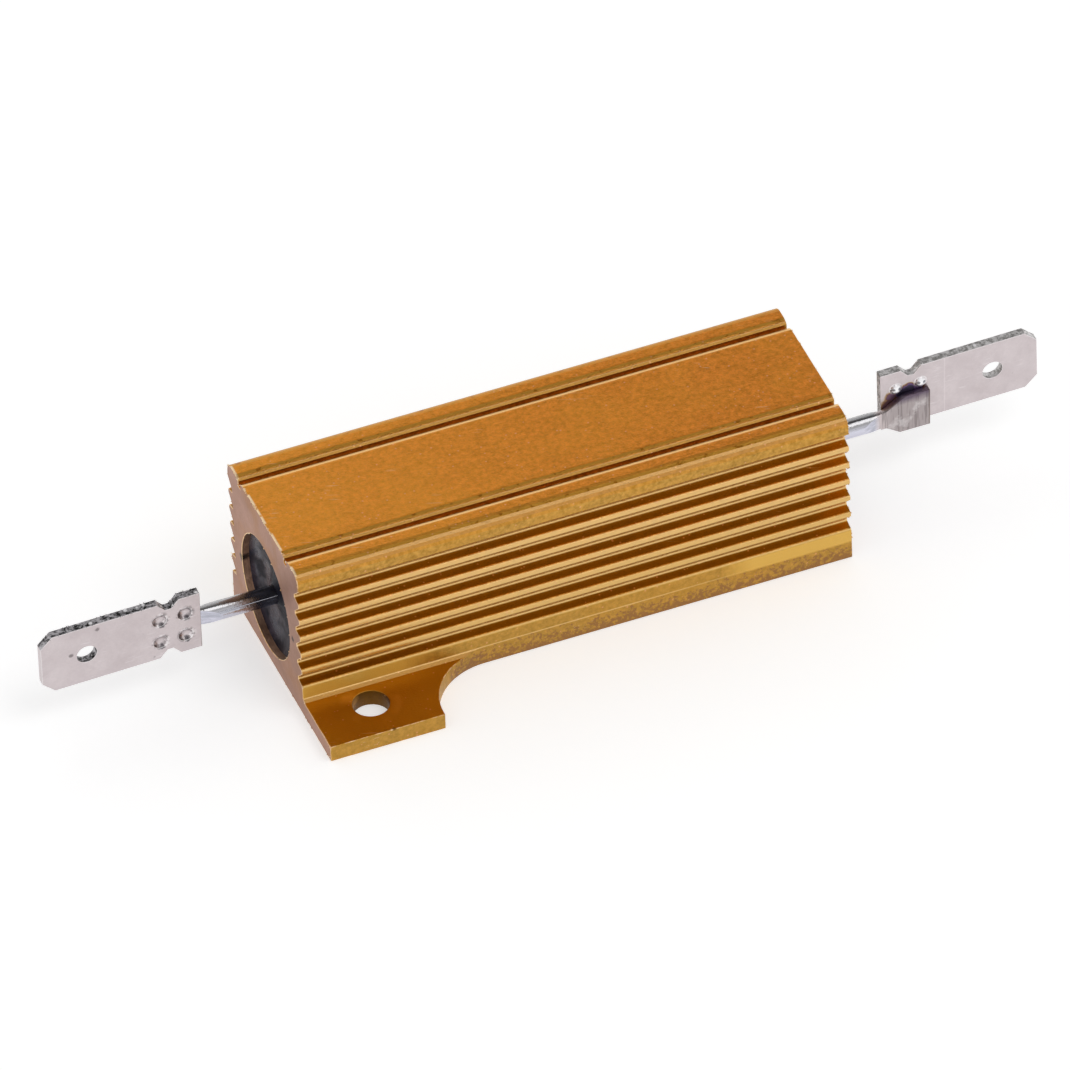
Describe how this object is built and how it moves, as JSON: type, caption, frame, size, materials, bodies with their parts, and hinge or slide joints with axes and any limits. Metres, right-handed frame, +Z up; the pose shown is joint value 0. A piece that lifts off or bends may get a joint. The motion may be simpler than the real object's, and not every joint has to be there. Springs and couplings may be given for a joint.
{
  "type": "aluminium housed power resistor",
  "caption": "Wirewound power resistor in a ribbed, gold anodised extruded housing with screw feet and push-on tabs.",
  "frame": {"origin": "middle of the mounting face, under the middle of the housing", "axes": "+X along the housing from the left tab to the right tab, +Y across it towards the right foot, +Z up from the mounting face"},
  "size_m": [0.0914, 0.029, 0.0155],
  "materials": {
    "anodised_housing": "gold anodised, satin",
    "moulding": "cured silicone moulding",
    "ceramic": "fired ceramic",
    "resistance_wire": "drawn alloy wire",
    "caps": "pressed steel",
    "tinned_lead": "tinned wire",
    "tinned_tab": "matt tin plate"
  },
  "bodies": {
    "root": {"housing": "anodised_housing", "moulding": "moulding", "ceramic_core": "ceramic", "resistance_winding": "resistance_wire", "left_end_cap": "caps", "right_end_cap": "caps", "left_lead": "tinned_lead", "right_lead": "tinned_lead", "left_tab": "tinned_tab", "right_tab": "tinned_tab"}
  },
  "joints": []
}
